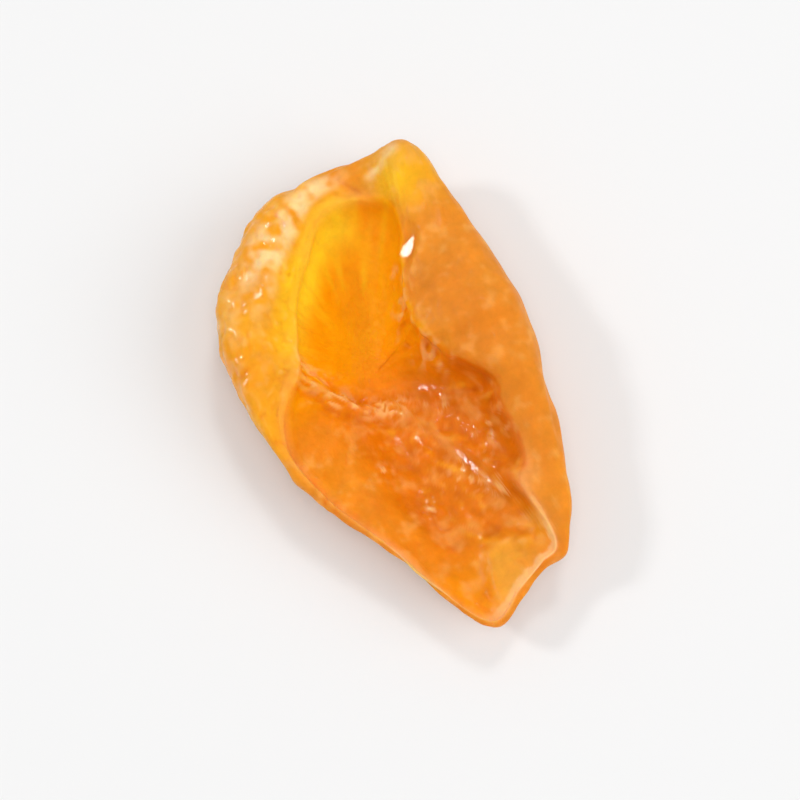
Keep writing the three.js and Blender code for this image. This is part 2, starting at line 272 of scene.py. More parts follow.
def along_section(points, share):
    """Where the cubic spline that a section steers is, at a share of the way along it."""
    last = len(points) - 1
    mirror = np.array([-1, 1])
    padded = np.concatenate([points[1:2] * mirror, points, points[last - 1:last] * mirror])
    at = share * last
    i = np.minimum(np.floor(at), last - 1).astype(int)
    t = at - i
    weights = [(1 - t) ** 3, 3 * t ** 3 - 6 * t ** 2 + 4, -3 * t ** 3 + 3 * t ** 2 + 3 * t + 1, t ** 3]
    row = np.arange(len(share))
    return sum(w[:, None] * padded[i + k, row] for k, w in enumerate(weights)) / 6


def normals_of(points, faces):
    """The surface's outward direction at each point."""
    p = points[faces]
    across = np.cross(p[:, 2] - p[:, 0], p[:, 3] - p[:, 1])
    total = np.zeros_like(points)
    for k in range(4):
        np.add.at(total, faces[:, k], across)
    return total / np.linalg.norm(total, axis=1)[:, None]


def bend_of(points, faces):
    """How sharply the surface bends at each point, in radians to the millimetre, above 0 on a ridge."""
    total, count, length = np.zeros_like(points), np.zeros(len(points)), np.zeros(len(points))
    for k in range(4):
        start, end = faces[:, k], faces[:, (k + 1) % 4]
        step = points[end] - points[start]
        np.add.at(total, start, step)
        np.add.at(count, start, 1)
        np.add.at(length, start, (step ** 2).sum(1))
    bend = -2 * (total * normals_of(points, faces)).sum(1) / length
    for _ in range(BEND_EASINGS):
        middle = bend[faces].mean(1)
        spread = np.zeros(len(points))
        for k in range(4):
            np.add.at(spread, faces[:, k], middle)
        bend = spread / count
    return bend


def past_line(at, line):
    """How far each place is from a bent line, above 0 on its right, and the share of the way along it."""
    nearest = np.full_like(at.x, np.inf)
    signed, along = np.zeros_like(at.x), np.zeros_like(at.x)
    for k, ((x0, y0), (x1, y1)) in enumerate(zip(line, line[1:])):
        out_x, out_y = at.x - x0, at.y - y0
        run_x, run_y = x1 - x0, y1 - y0
        t = np.clip((out_x * run_x + out_y * run_y) / (run_x ** 2 + run_y ** 2), 0, 1)
        away = np.hypot(out_x - t * run_x, out_y - t * run_y)
        right = np.where(out_x * run_y > out_y * run_x, 1, -1)
        near = away < nearest
        nearest = np.where(near, away, nearest)
        signed = np.where(near, away * right, signed)
        along = np.where(near, (k + t) / (len(line) - 1), along)
    return signed, along


# The line that the pleats of the skin turn round: how far to +X in the middle, how much further with each
# millimetre towards the stem end, how high, how far off it they are at full height, and how thick it is
PLEAT_AXIS_X, PLEAT_AXIS_SLANT, PLEAT_AXIS_HEIGHT = 4.8, 0.2, 6.0
PLEAT_AXIS_CALM, PLEAT_AXIS_CORE = 6.0, 1.0
# Pleats: how many, how fast they change along their run, and how high they stand
PLEATS = ((2.6, 0.06, 0.42), (5.5, 0.09, 0.28), (12, 0.16, 0.09))
PLEAT_BENDS = Waves(0.3, (6, 8, 6), 40)
SKIN_SWELLS = Waves(0.35, (7, 9, 7), 0)
# How much lower the pleats are on the flap
FLAP_CALM = 0.8
# What makes creased swells of smooth noise: how high they are, how soft the creases and where their level is
FOLD_GAIN, FOLD_EASE, FOLD_LEVEL = 2, 0.01, 0.7
# The wrinkles of the roll, and the nub where the stem was
ROLL_WRINKLES = Waves(0.18, (1.9, 3.2, 2.4), 70)
ROLL_SWAY = Waves(0.5, (3, 3, FLAT), 63.5)
NUB_PLACE = (9.2, 20.3)
NUB_HEIGHT, NUB_SIZE = 0.4, (2.0, 2.0)
# Zones of the half, here and below: each measure that bounds one, where on it the zone has not set in
# and where it is full
FLAP_ZONE = (("x", 2, 6), ("z", 7, 9))
ROLL_ZONE = (("x", 2, -4), ("z", 5, 8))
CURL_ZONE = (*ROLL_ZONE, ("y", -2, 6), ("share", 0.56, 0.5))
STEM_ZONE = (("z", 6, 9),)


def folds(height):
    """Rounded swells with a crease between them, from smooth noise."""
    return FOLD_GAIN * np.sqrt(height ** 2 + FOLD_EASE) - FOLD_LEVEL


def round_pleat_axis(at):
    """Where each place lies round the line that the pleats turn round, and how far from it."""
    out_x, out_z = at.x - PLEAT_AXIS_X - PLEAT_AXIS_SLANT * at.y, at.z - PLEAT_AXIS_HEIGHT
    away = np.hypot(out_x, out_z)
    return out_x / (away + PLEAT_AXIS_CORE), out_z / (away + PLEAT_AXIS_CORE), away


def skin_relief(at):
    """Slow swells, and pleats that run from the stem end to the tip and meet there."""
    round_x, round_z, away = round_pleat_axis(at)
    bend = waves(PLEAT_BENDS, at)
    calm = (1 - FLAP_CALM * inside(FLAP_ZONE, at)) * smooth(0, PLEAT_AXIS_CALM, away)
    total = waves(SKIN_SWELLS, at)
    for number, run, height in PLEATS:
        crossing = noise(round_x * number + bend, round_z * number + bend, at.y * run + number)
        total = total + calm * height * folds(crossing)
    return total


def roll_relief(at):
    """Wrinkles on the roll at the upper left, and the nub where the stem was."""
    wrinkles = ROLL_WRINKLES.strength * folds(pattern(ROLL_WRINKLES, at, waves(ROLL_SWAY, at)))
    nub = spot(at, NUB_PLACE, NUB_SIZE) * inside(STEM_ZONE, at)
    return inside(ROLL_ZONE, at) * wrinkles + NUB_HEIGHT * nub


# The hollow that the stone has left
STONE_PLACE = (-0.8, 6.0)
HOLLOW_DEPTH, HOLLOW_SIZE = 0.8, (6, 9)
FLESH_SWELLS = Waves(0.25, (5, 6, FLAT), 21.5)
# Fibres round the stone: how many, how fast they change along their run, and how high they stand
FIBRES = ((3.5, 0.1, 0.09), (9, 0.2, 0.06))
FIBRE_CORE, FIBRE_START = 0.5, (2, 8)
FIBRE_SWAY = Waves(0.2, (3, 3, FLAT), 30.5)
# The coarser grain of the flesh, which lies in patches
GRAIN = Waves(0.22, (1.5, 1.2, FLAT), 27.5)
GRAIN_SWAY = Waves(0.6, (2.5, 2.5, FLAT), 33.5)
GRAIN_PATCHES = Waves(1, (4.5, 4.5, FLAT), 51.5)
GRAIN_PATCH_LEVELS = (-0.25, 0.35)
LOWER_HALF = (("y", 3, -3),)
GRAIN_ZONE = (*LOWER_HALF, ("x", -6, 2))
# The folds of the flesh are steps up on the right of bent lines, which go across it, down its low side
# and round the tip's turned-up side. For each one, after its line: its height, where across the line it
# rises, how far on it sinks again, the shares of the line where it sets in and starts to end, and its
# ripples' height
Fold = namedtuple("Fold", "line height rise sinking ends ripple")
CROSS_LINE = ((-8.6, 7.6), (-7.0, 5.4), (-5.2, 3.4), (-3.3, 1.5), (-0.5, 0.4), (2.5, 0.2))
SIDE_LINE = ((-4.2, 2.6), (-5.0, -2.1), (-4.7, -6.4), (-3.2, -10.5), (-1.2, -14.3), (-0.4, -18.5))
TIP_LINE = ((0.4, -24.0), (1.1, -19.0), (1.9, -15.9), (2.7, -15.2), (5.0, -15.8), (9.0, -17.6))
CROSS_FOLD = Fold(CROSS_LINE, 0.45, (-1.0, 0.6), 4.0, (0.15, 0.6), 0.3)
SIDE_FOLD = Fold(SIDE_LINE, 0.6, (-1.0, 1.4), 6.0, (0.2, 0.7), 0.0)
TIP_FOLD = Fold(TIP_LINE, 0.55, (-0.9, 0.9), 4.0, (0.1, 0.7), 0.0)
FOLD_SWAY = Waves(0.5, (3, 3, FLAT), 41.5)
RIPPLE_TURN, RIPPLE_START = 2.4, 1
RIPPLE_MIDDLE, RIPPLE_REACH = 0.6, 1.8


def round_stone(at, core):
    """Where each place lies round the stone's place, and how far from it."""
    out_x, out_y = at.x - STONE_PLACE[0], at.y - STONE_PLACE[1]
    away = np.hypot(out_x, out_y)
    return out_x / (away + core), out_y / (away + core), away


def past_fold(at, fold):
    """How far each place is past a fold's line, which sways a little, and how fully the fold is there."""
    past, along = past_line(at, fold.line)
    sets_in, ends = fold.ends
    return past + waves(FOLD_SWAY, at), smooth(0, sets_in, along) * smooth(1, ends, along)


def fold_step(at, fold):
    """The step of one fold of the flesh, and the ripples beside it."""
    past, there = past_fold(at, fold)
    step = fold.height * smooth(*fold.rise, past) * np.exp(-np.maximum(past, 0) / fold.sinking)
    beside = hump(past - RIPPLE_MIDDLE, RIPPLE_REACH)
    ripple = fold.ripple * np.cos(past * RIPPLE_TURN - RIPPLE_START) * beside
    return there * (step + ripple)


def beyond_fold(at, fold):
    """How far each place is on the raised side of a fold, from 0 to 1."""
    past, there = past_fold(at, fold)
    return there * smooth(*fold.rise, past)


def flesh_relief(at):
    """The stone's hollow, fibres that run out from it, and the folds and coarser grain of the flesh."""
    turn_x, turn_y, away = round_stone(at, FIBRE_CORE)
    total = waves(FLESH_SWELLS, at) - HOLLOW_DEPTH * spot(at, STONE_PLACE, HOLLOW_SIZE)
    sway = waves(FIBRE_SWAY, at)
    for number, run, height in FIBRES:
        fibre = noise(turn_x * number + sway, turn_y * number + sway, away * run + number)
        total = total + height * smooth(*FIBRE_START, away) * folds(fibre)
    patch = smooth(*GRAIN_PATCH_LEVELS, waves(GRAIN_PATCHES, at)) * inside(GRAIN_ZONE, at)
    grain = GRAIN.strength * folds(pattern(GRAIN, at, waves(GRAIN_SWAY, at)))
    return total + patch * grain + sum(fold_step(at, fold) for fold in (CROSS_FOLD, SIDE_FOLD, TIP_FOLD))


# Beads of wet flesh: the lines they lie along, where they cluster and how widely, how high they stand,
# and above which noise they rise and show painted highlights on their tops
BEAD_LINES = (((4.4, 11.0), (3.4, 8.0), (3.1, 5.6), (3.8, 3.3), (5.2, 1.6)), CROSS_LINE)
BEAD_LINE_WIDTH = 0.8
BEAD_CLUSTERS = (
    (6.8, -5.6, 1.6), (3.3, -8.2, 1.8), (-0.1, -3.4, 1.1), (3.5, -1.3, 0.9),
    (5.7, -11.0, 1.3), (-1.1, -10.2, 0.9), (-3.7, -5.2, 0.7), (0.7, -16.7, 0.8),
)
BEAD_HEIGHT, BEAD_LEVELS, BEAD_TOP_LEVELS = 0.15, (0.0, 0.6), (0.1, 0.5)
BEADS = Waves(1, (0.65, 0.65, FLAT), 90.5)
# The jagged edge of the cross fold: how high, where past its line and how widely the jags lie, how long
# they are and how many
JAG_HEIGHT, JAG_MIDDLE, JAG_REACH, JAG_ENDS = 0.3, 0.2, 1.3, (0.1, 0.8)
JAG_LENGTH, JAG_NUMBER, JAG_START = 0.6, 11, 84.5
# Above which noise the jags' tops take painted highlights
JAG_TOP_LEVELS = (0.2, 0.6)
FINE_SWAY = Waves(0.5, (1.6, 1.6, FLAT), 83.5)
# Crinkles of the roll, and the wet grain that runs down to the right in the lower half
CRINKLE_HEIGHT, CRINKLES_ROUND, CRINKLES_ALONG = 0.1, 7, 28
WET_GRAIN_HEIGHT, WET_GRAIN_TURN = 0.08, 0.7
WET_GRAIN_RUN = Waves(1, (1.5, 0.75, FLAT), 88.5)
WET_GRAIN_SWAY = Waves(0.4, (1.5, 1.5, FLAT), 86.5)
TINY_GRAIN = Waves(0.5, (0.6, 0.6, FLAT), 89.5)
WET_GRAIN_ZONE = (("y", 2, -2), ("y", -17, -14), ("x", -5, -1))
# A wet facet on the flap's edge: where its middle is, which way it faces and runs, its half length and
# width, how it fades at its outline, and how far off its plane the edge is still drawn onto it
FACET_MIDDLE = (6.1, 12.1, 9.3)
FACET_NORMAL = (-0.39, 0.096, 0.916)
FACET_RUN = (0.66, 0.75)
FACET_LENGTH, FACET_WIDTH = 2.6, 1.1
FACET_FADE, FACET_DEPTHS = (1.1, 0.4), (0.9, 0.5)
FACET_OUTLINE = Waves(0.12, (0.8, 0.8, FLAT), 71.5)
FACET_ZONE = (("share", 0.4, 0.44), ("share", 0.66, 0.6))


def beaded(at):
    """How thickly beads of wet flesh lie at each place, from 0 to 1."""
    near = sum(hump(past_line(at, line)[0], BEAD_LINE_WIDTH) for line in BEAD_LINES)
    near = near + sum(spot(at, (x, y), (wide, wide)) for x, y, wide in BEAD_CLUSTERS)
    return np.minimum(near, 1)


def grained(at):
    """How far each place is on the wet, grained flesh of the lower half, from 0 to 1."""
    return np.maximum(inside(WET_GRAIN_ZONE, at) * (1 - beyond_fold(at, SIDE_FOLD)), beaded(at))


def grain_swells(at):
    """The swells of the wet grain, which run down to the right across the half."""
    turned = at._replace(x=WET_GRAIN_TURN * (at.x - at.y), y=WET_GRAIN_TURN * (at.x + at.y))
    return pattern(WET_GRAIN_RUN, turned, waves(WET_GRAIN_SWAY, at)) + waves(TINY_GRAIN, at)


def jags(at):
    """How thickly the jags of the cross fold's edge lie at each place, and the noise that shapes them."""
    past, along = past_line(at, CROSS_LINE)
    sets_in, ends = JAG_ENDS
    there = hump(past - JAG_MIDDLE, JAG_REACH) * smooth(0, sets_in, along) * smooth(1, ends, along)
    return there, noise(past / JAG_LENGTH + waves(FINE_SWAY, at), along * JAG_NUMBER, JAG_START)


def facet(at):
    """How far each place is on the wet facet of the flap's edge, from 0 to 1."""
    out_x, out_y = at.x - FACET_MIDDLE[0], at.y - FACET_MIDDLE[1]
    along = out_x * FACET_RUN[0] + out_y * FACET_RUN[1]
    across = out_x * FACET_RUN[1] - out_y * FACET_RUN[0]
    away = np.hypot(along / FACET_LENGTH, across / FACET_WIDTH) + waves(FACET_OUTLINE, at)
    return smooth(*FACET_FADE, away) * inside(FACET_ZONE, at)


def faceted(points, turn, share):
    """The points with those on the facet laid onto its plane."""
    above = (points - np.array(FACET_MIDDLE)) @ np.array(FACET_NORMAL)
    near = facet(Places(*points.T, turn, share)) * smooth(*FACET_DEPTHS, np.abs(above))
    return points - (near * above)[:, None] * np.array(FACET_NORMAL)


def fine_relief(at):
    """Crinkles along the roll, beads and grain of wet flesh, and the jagged edge of the cross fold."""
    sway = waves(FINE_SWAY, at)
    round_x, round_y = np.cos(at.turn) * CRINKLES_ROUND, np.sin(at.turn) * CRINKLES_ROUND
    crinkle = folds(noise(round_x + sway, round_y - sway, at.share * CRINKLES_ALONG))
    beads = BEAD_HEIGHT * beaded(at) * smooth(*BEAD_LEVELS, waves(BEADS, at))
    grain = WET_GRAIN_HEIGHT * grained(at) * grain_swells(at)
    jagged, jag_shape = jags(at)
    fine_flesh = beads + grain + JAG_HEIGHT * jagged * folds(jag_shape)
    return CRINKLE_HEIGHT * inside(CURL_ZONE, at) * crinkle + inside(FLESH_ZONE, at) * fine_flesh


# Where the reliefs of the skin and the flesh lie, and the low swells that both have
SKIN_ZONE = (("share", 0.56, 0.5),)
FLESH_ZONE = (("share", 0.56, 0.63),)
OFF_MIDDLE_ZONE = (("share", 0.03, 0.15),)
SURFACE_SWELLS = Waves(0.12, (2.2, 2.6, 2.2), 0)
FLESH_SWELL_CALM = 0.5
# The spot that the half is pressed flat on, under its weight
PRESS_PLACE = (1.4, 4.8)
PRESS_DEPTH, PRESS_SIZE = 0.45, (7, 12)
FLAT_EASE = 0.35


def relieved(points, faces, turn, share):
    """The half with its relief, and with the flat spot that it rests on."""
    at = Places(*points.T, turn, share)
    skin, flesh = inside(SKIN_ZONE, at), inside(FLESH_ZONE, at)
    rise = skin * (skin_relief(at) + roll_relief(at)) + flesh * flesh_relief(at)
    rise = rise + waves(SURFACE_SWELLS, at) * (1 - flesh * FLESH_SWELL_CALM) + fine_relief(at)
    points = points + normals_of(points, faces) * (rise * inside(OFF_MIDDLE_ZONE, at))[:, None]
    points = faceted(points, turn, share)
    pressed = PRESS_DEPTH * spot(Places(*points.T, turn, share), PRESS_PLACE, PRESS_SIZE)
    up = np.maximum(points[:, 2] - pressed, 0)
    points[:, 2] = up ** 2 / (up + FLAT_EASE)
    return points


# Colours, as linear red, green and blue
SKIN = (0.80, 0.272, 0.018)
# Skin yellower at the upper left and high up: partly the roll's own yellow, partly painted light where the
# light falls
YELLOW_AND_PAINTED_LIT_SKIN = (0.93, 0.38, 0.012)
FLESH = (0.88, 0.30, 0.0)
# Darker orange: for darker speckles, and for the flesh's deeper tone with painted shade in low places and on
# the right of the lower half
DEEP_FLESH = (0.77, 0.195, 0.0)
CAVITY_FLESH = (1.0, 0.37, 0.0)
# Painted glow: bright yellow on the slope under the roll, where light comes through the thin roll
PAINTED_GLOW_ON_SLOPE = (1.0, 0.64, 0.02)
# Bright yellow: the colour of the lighter fibres, and painted glow of light through thin flesh at the nub
# and in the ribbon inside the roll
YELLOW_AND_PAINTED_GLOW = (1.0, 0.57, 0.01)
MATTE_FLESH = (0.84, 0.265, 0.008)
TIP_FLESH = (0.84, 0.36, 0.03)
# Painted light on the swells of the wet grain, and painted shade in its hollows
PAINTED_LIGHT_ON_GRAIN = (0.95, 0.40, 0.02)
PAINTED_SHADE_IN_GRAIN = (0.66, 0.145, 0.0)
PALE_SPOT = (0.94, 0.46, 0.11)
CUT_EDGE = (1.0, 0.48, 0.17)
# Painted highlight: pale on ridges and on the tops of beads and jags
PAINTED_RIDGE_HIGHLIGHT = (0.98, 0.55, 0.20)
PALE_FRINGE = (1.0, 0.62, 0.27)
# Painted highlight: the sheen on the roll's crests and along the nub's crest, laid on in streaks
PAINTED_CREST_HIGHLIGHT = (1.0, 0.75, 0.38)
# Where they lie
SKIN_COLOUR_ZONE = (("share", 0.56, 0.525),)
# Where the skin is yellower, partly painted light: to the left, towards the stem end and high up
YELLOW_AND_PAINTED_LIT_ZONE = (("x", 5, -5), ("y", -8, 2), ("z", 2, 8))
NUB_ZONE = (("z", 5, 9),)
# Where painted highlights lie on the roll's crests at the upper left
CREST_HIGHLIGHT_ZONE = (("share", 0.34, 0.42), ("share", 0.5, 0.46), ("x", 4, 0), ("y", 9, 16))
CAVITY_ZONE = (("y", 0, 7),)
# Where the flesh is darker, partly its deeper tone and partly painted shade: in low places short of the tip,
# and on the right of the lower half
DEEPER_AND_PAINTED_SHADE_LOW = (("z", 7, 4), ("y", -19, -13))
DEEPER_AND_PAINTED_SHADE_RIGHT = (("x", 3, 6), ("y", 6, 2), ("y", -15, -12))
# Where painted glow lies on the slope of the hollow under the roll
PAINTED_GLOW_SLOPE_ZONE = (("share", 0.80, 0.66), ("x", 4, 1), ("y", 5, 12))
FIBRE_ZONE = (("y", 2, 7),)
# Where painted glow lies in a ribbon inside the roll
RIBBON_ZONE = (("x", 4, 1), ("y", 4, 10))
LOW_RIM = (("z", 9.0, 6.5),)
TIP_END = (("y", -8, -14),)
FRINGE_ZONE = (("share", 0.50, 0.53), ("y", -14.5, -16.5), ("x", -1.5, 1))
# How strongly they are laid on, and between which levels of the noise, the bend or the section's share
# Painted glow at the nub: where, how wide and how strong
NUB_GLOW_PLACE, NUB_GLOW_SIZE, NUB_GLOW = (8.0, 18.7), (3.2, 3.2), 0.85
# How strongly painted highlights are laid along the nub's crest and on the roll's crests
NUB_CREST_LINE, NUB_CREST_WIDTH, NUB_CREST_HIGHLIGHT = ((5.6, 20.2), (8.2, 21.4)), 0.6, 0.65
ROLL_HIGHLIGHT, HIGHLIGHT_STREAK_LEVELS = 0.8, (-0.5, 0.4)
STREAK_WIDTH, STREAK_LENGTH, STREAK_LEAN, STREAK_START = 1.6, 2, 3, 77.5
FINE_STREAKS = Waves(0.5, (0.7, 0.7, FLAT), 78.5)
SPOTS = Waves(1, (1.7, 1.7, 1.7), 97)
SMALL_SPOTS = Waves(0.6, (0.7, 0.7, 0.7), 98)
SPOT_LIGHT, SPOT_LIGHT_LEVELS = 0.4, (0.0, 0.8)
SPOT_SHADE, SPOT_SHADE_LEVELS = 0.35, (0.0, -0.8)
FIBRE_GLOW, FIBRE_LEVELS, FIBRE_GLOW_START = 0.5, (0, 0.8), (3, 7)
GLOW_FIBRES, GLOW_FIBRE_RUN, GLOW_FIBRE_START = 11, 0.25, 3
# How strongly painted shade and painted light are laid in the grain's hollows and on its swells
GRAIN_SHADE, GRAIN_SHADE_LEVELS = 0.6, (0.0, -0.9)
GRAIN_LIGHT, GRAIN_LIGHT_LEVELS = 0.55, (0.3, 1.0)
# How strongly painted highlights are laid on the tops of beads and jags
PAINTED_TOP_HIGHLIGHTS = 0.7
# Where across the section the ribbon of painted glow lies, and how wide
RIBBON_SHARE, RIBBON_WIDTH = 0.53, 0.045
CUT_EDGE_SHARE, CUT_EDGE_WIDTH, CUT_EDGE_STRENGTHS = 0.535, 0.05, (0.35, 0.9)
FRAYS = Waves(0.02, (0.8, 0.8, FLAT), 66.5)
FINE_FRAYS = Waves(0.01, (0.35, 0.35, FLAT), 67.5)
FRINGE_END, FRINGE_STRENGTH = (0.612, 0.592), 0.55
# Painted light on ridges and painted shade in creases, by how the surface bends
RIDGE_LIGHT, RIDGE_LEVELS = 0.3, (0.15, 1.2)
CREASE_SHADE, CREASE_LEVELS = 0.2, (-0.1, -0.9)
SHADE_DRIFT = Waves(0.12, (4, 5, 4), 60)
DRIFT_OF_COLOURS = (0.3, 1.0, 1.0)


def blend(colour, other, share):
    """One colour for each point, from the first to the other by a share for each point."""
    return mix(colour, np.array(other), np.clip(share, 0, 1)[:, None])


def streaks(at):
    """Leaning streaks with finer ones among them, from 0 to 1, where painted highlights lie on the crests.
    """
    across = at.x / STREAK_WIDTH + at.y / STREAK_LEAN
    along = at.y / STREAK_LENGTH - at.x / STREAK_LEAN
    return smooth(*HIGHLIGHT_STREAK_LEVELS, noise(across, along, STREAK_START) + waves(FINE_STREAKS, at))


def speckled(at):
    return waves(SPOTS, at) + waves(SMALL_SPOTS, at)


def skin_colour(at):
    """Yellower at the upper left and high up, partly the roll's own yellow and partly painted light; yellow
    with painted glow at the nub; with painted highlights in streaks on the crests there and along the nub's
    crest; and spotted all over.
    """
    # Partly painted light: the skin yellower at the upper left and high up
    colour = blend(np.tile(SKIN, (len(at.x), 1)), YELLOW_AND_PAINTED_LIT_SKIN, inside(YELLOW_AND_PAINTED_LIT_ZONE, at))
    # Painted glow, in yellow, on the nub high up
    nub = spot(at, NUB_GLOW_PLACE, NUB_GLOW_SIZE) * inside(NUB_ZONE, at)
    colour = blend(colour, YELLOW_AND_PAINTED_GLOW, NUB_GLOW * nub)
    # Painted highlights in streaks on the roll's crests and along the nub's crest
    highlight_streaks = streaks(at)
    colour = blend(colour, PAINTED_CREST_HIGHLIGHT, ROLL_HIGHLIGHT * inside(CREST_HIGHLIGHT_ZONE, at) * highlight_streaks)
    nub_crest = hump(past_line(at, NUB_CREST_LINE)[0], NUB_CREST_WIDTH) * inside(STEM_ZONE, at)
    colour = blend(colour, PAINTED_CREST_HIGHLIGHT, NUB_CREST_HIGHLIGHT * nub_crest * highlight_streaks)
    return blend(colour, PALE_SPOT, SPOT_LIGHT * smooth(*SPOT_LIGHT_LEVELS, speckled(at)))


def with_fibres(colour, at):
    """The colour with glowing fibres that run out from the stone's place."""
    turn_x, turn_y, away = round_stone(at, FIBRE_CORE)
    away = away + FIBRE_CORE
    fibre = noise(turn_x * GLOW_FIBRES, turn_y * GLOW_FIBRES, away * GLOW_FIBRE_RUN + GLOW_FIBRE_START)
    glow = smooth(*FIBRE_LEVELS, fibre) * smooth(*FIBRE_GLOW_START, away) * inside(FIBRE_ZONE, at)
    return blend(colour, YELLOW_AND_PAINTED_GLOW, FIBRE_GLOW * glow)


def with_grain(colour, at):
    """The colour with painted shade in the grain's hollows and painted light on its swells, and painted
    highlights on the tops of the beads and jags.
    """
    grain, swells = grained(at), grain_swells(at)
    # Painted shade in the grain's hollows and painted light on its swells
    colour = blend(colour, PAINTED_SHADE_IN_GRAIN, GRAIN_SHADE * grain * smooth(*GRAIN_SHADE_LEVELS, swells))
    colour = blend(colour, PAINTED_LIGHT_ON_GRAIN, GRAIN_LIGHT * grain * smooth(*GRAIN_LIGHT_LEVELS, swells))
    bead_tops = beaded(at) * smooth(*BEAD_TOP_LEVELS, waves(BEADS, at))
    jagged, jag_shape = jags(at)
    jag_tops = jagged * smooth(*JAG_TOP_LEVELS, np.abs(jag_shape))
    # Painted highlights on the tops of the beads and jags
    return blend(colour, PAINTED_RIDGE_HIGHLIGHT, PAINTED_TOP_HIGHLIGHTS * np.maximum(bead_tops, jag_tops))


def flesh_colour(at):
    """Darker orange in low places and on the right of the lower half, partly the flesh's deeper tone and
    partly painted shade; bright in the hollow, matte down the low side, pale at the tip, and yellow with
    painted glow on the slope under the roll.
    """
    # Partly painted shade: darker in low places and on the right of the lower half
    deep = np.maximum(inside(DEEPER_AND_PAINTED_SHADE_LOW, at), inside(DEEPER_AND_PAINTED_SHADE_RIGHT, at))
    colour = blend(np.tile(FLESH, (len(at.x), 1)), DEEP_FLESH, deep)
    colour = blend(colour, CAVITY_FLESH, inside(CAVITY_ZONE, at))
    colour = blend(colour, MATTE_FLESH, beyond_fold(at, SIDE_FOLD))
    speckles, lower = speckled(at), inside(LOWER_HALF, at)
    colour = blend(colour, PALE_SPOT, SPOT_LIGHT * smooth(*SPOT_LIGHT_LEVELS, speckles) * lower)
    colour = blend(colour, DEEP_FLESH, SPOT_SHADE * smooth(*SPOT_SHADE_LEVELS, speckles) * lower)
    colour = blend(colour, TIP_FLESH, beyond_fold(at, TIP_FOLD))
    # Painted glow on the slope under the roll, where light comes through it
    colour = blend(colour, PAINTED_GLOW_ON_SLOPE, inside(PAINTED_GLOW_SLOPE_ZONE, at))
    return with_grain(with_fibres(colour, at), at)


def with_edges(colour, at):
    """The colour with painted glow in a ribbon inside the roll, where light comes through the thin edge, the
    pale cut edge and the tip's frayed fringe.
    """
    # Painted glow in a ribbon inside the roll, where light comes through the thin edge
    ribbon = hump(at.share - RIBBON_SHARE, RIBBON_WIDTH) * inside(RIBBON_ZONE, at)
    colour = blend(colour, YELLOW_AND_PAINTED_GLOW, ribbon)
    cut = hump(at.share - CUT_EDGE_SHARE, CUT_EDGE_WIDTH) * inside(LOW_RIM, at)
    colour = blend(colour, CUT_EDGE, cut * mix(*CUT_EDGE_STRENGTHS, inside(TIP_END, at)))
    frayed = at.share + waves(FRAYS, at) + waves(FINE_FRAYS, at)
    fringe = smooth(*FRINGE_END, frayed) * inside(FRINGE_ZONE, at)
    return blend(colour, PALE_FRINGE, FRINGE_STRENGTH * fringe)


def with_shade(colour, at, bend):
    """The colour with painted light on ridges and painted shade in creases, and drifting a little over the
    half.
    """
    # Painted light on ridges and painted shade in creases
    colour = blend(colour, PAINTED_RIDGE_HIGHLIGHT, RIDGE_LIGHT * smooth(*RIDGE_LEVELS, bend))
    shade = 1 - CREASE_SHADE * smooth(*CREASE_LEVELS, bend)
    drift = shade * (1 + waves(SHADE_DRIFT, at))
    return np.clip(colour * drift[:, None] ** np.array(DRIFT_OF_COLOURS), 0, 1)


# How wet the beads, the grain, the facet and the driest places are, and the patches on the skin
WET_BEADS, WET_SWELLS, WET_FACET, DRIEST = 0.8, 0.45, 0.6, 0.04
WET_SWELL_LEVELS, WET_PATCH_LEVELS, WET_SKIN_SHARE = (0.2, 0.7), (-0.3, 0.2), 0.75
WET_PATCHES = Waves(1, (1.8, 1.8, FLAT), 95.5)
WET_FLESH_ZONE = (("y", -17, -14.5),)
# The material's finest grain: how many grains lie round the pleats' line or the stone, how many go to a
# millimetre away from it, and how far its middle is kept clear
SKIN_GRAINS, SKIN_GRAIN_RUN = 6, 0.6
FLESH_GRAINS, FLESH_GRAIN_RUN, FLESH_GRAIN_CORE = 13, 0.8, 4


def wetness(at, skin):
    """How wet each place is, from nearly 0 to 1."""
    patches = smooth(*WET_PATCH_LEVELS, waves(WET_PATCHES, at)) * mix(1, WET_SKIN_SHARE, skin)
    swells = grained(at) * smooth(*WET_SWELL_LEVELS, grain_swells(at))
    flesh = WET_BEADS * beaded(at) * patches + WET_SWELLS * swells
    flesh = (1 - skin) * inside(WET_FLESH_ZONE, at) * flesh
    return np.clip(flesh + WET_FACET * facet(at) + inside(CURL_ZONE, at) * patches, DRIEST, 1)


def skin_grain(at):
    """Coordinates in which the skin's finest grain is drawn out along its pleats."""
    round_x, round_z, _ = round_pleat_axis(at)
    return np.stack([SKIN_GRAINS * round_x, SKIN_GRAINS * round_z, SKIN_GRAIN_RUN * at.y], 1)


def flesh_grain(at):
    """Coordinates in which the flesh's finest grain runs out from the stone's place."""
    turn_x, turn_y, away = round_stone(at, FLESH_GRAIN_CORE)
    run = FLESH_GRAIN_RUN * (away + FLESH_GRAIN_CORE)
    return np.stack([FLESH_GRAINS * turn_x, FLESH_GRAINS * turn_y, run], 1)


def keep(half, name, kind, field, values):
    """Keeps a value for each point on the mesh."""
    attribute = half.data.attributes.new(name, kind, "POINT")
    attribute.data.foreach_set(field, np.asarray(values, dtype=np.float32).ravel())


